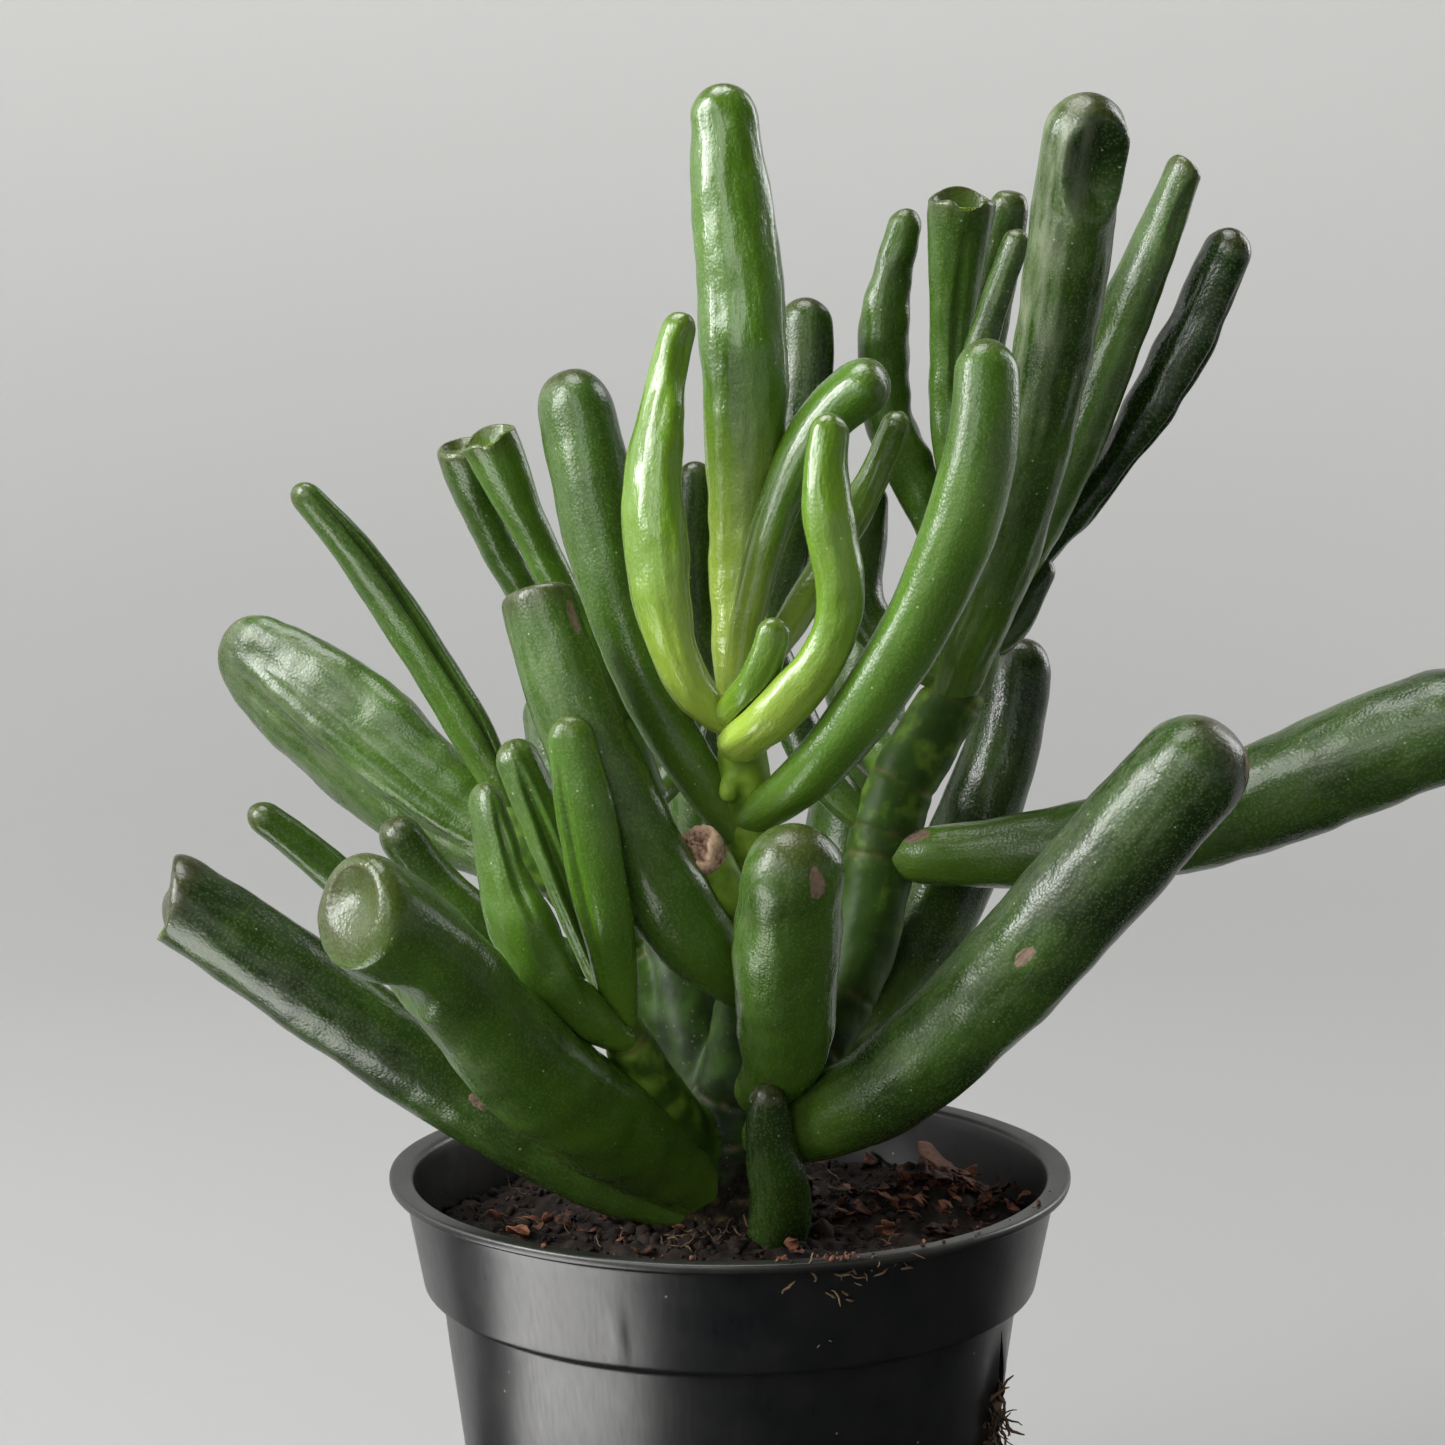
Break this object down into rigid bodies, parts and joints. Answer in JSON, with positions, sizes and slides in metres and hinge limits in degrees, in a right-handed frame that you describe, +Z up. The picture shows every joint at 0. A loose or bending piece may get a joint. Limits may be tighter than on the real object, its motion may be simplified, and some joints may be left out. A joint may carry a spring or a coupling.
{
  "type": "potted finger-leaved jade plant",
  "caption": "Succulent jade plant with thick tubular leaves on a branching stem, rooted in soil in a thin round nursery pot that stands on a flat base.",
  "frame": {"origin": "centre of the pot's flat underside, which rests on the surface", "axes": "+Z up along the pot's axis; -Y towards the viewer's side of the plant; +X to the viewer's right"},
  "size_m": [0.1594, 0.1035, 0.2065],
  "materials": {
    "pot_plastic": "satin",
    "potting_soil": "matte",
    "stem_skin": "matte",
    "mature_leaf": "satin",
    "young_leaf": "satin",
    "root_fibre": "matte",
    "dry_leaf_skin": "matte"
  },
  "bodies": {
    "root": {"pot": "pot_plastic", "soil": "potting_soil", "stem": "stem_skin", "leaf_main_01": "mature_leaf", "leaf_main_02": "mature_leaf", "leaf_main_03": "mature_leaf", "leaf_main_04": "mature_leaf", "leaf_main_05": "mature_leaf", "leaf_main_06": "mature_leaf", "leaf_main_07": "mature_leaf", "leaf_main_08": "mature_leaf", "leaf_main_09": "mature_leaf", "leaf_main_10": "young_leaf", "leaf_main_11": "young_leaf", "leaf_main_12": "young_leaf", "leaf_main_13": "young_leaf", "leaf_main_14": "young_leaf", "leaf_main_15": "mature_leaf", "leaf_main_16": "mature_leaf", "leaf_main_17": "young_leaf", "leaf_right_01": "mature_leaf", "leaf_right_02": "mature_leaf", "leaf_right_03": "mature_leaf", "leaf_right_04": "mature_leaf", "leaf_right_05": "mature_leaf", "leaf_right_06": "mature_leaf", "leaf_right_07": "mature_leaf", "leaf_right_08": "mature_leaf", "leaf_right_09": "mature_leaf", "leaf_right_10": "mature_leaf", "leaf_right_11": "mature_leaf", "leaf_right_12": "mature_leaf", "leaf_right_13": "mature_leaf", "leaf_right_14": "mature_leaf", "leaf_left_01": "mature_leaf", "leaf_left_02": "mature_leaf", "leaf_left_03": "mature_leaf", "leaf_rear_01": "mature_leaf", "leaf_rear_02": "mature_leaf", "leaf_rear_03": "mature_leaf", "leaf_rear_04": "mature_leaf", "leaf_far_01": "mature_leaf", "leaf_far_02": "mature_leaf", "leaf_far_03": "mature_leaf", "leaf_far_04": "mature_leaf", "leaf_far_05": "mature_leaf", "root_tuft": "root_fibre", "dry_leaf": "dry_leaf_skin"}
  },
  "joints": []
}
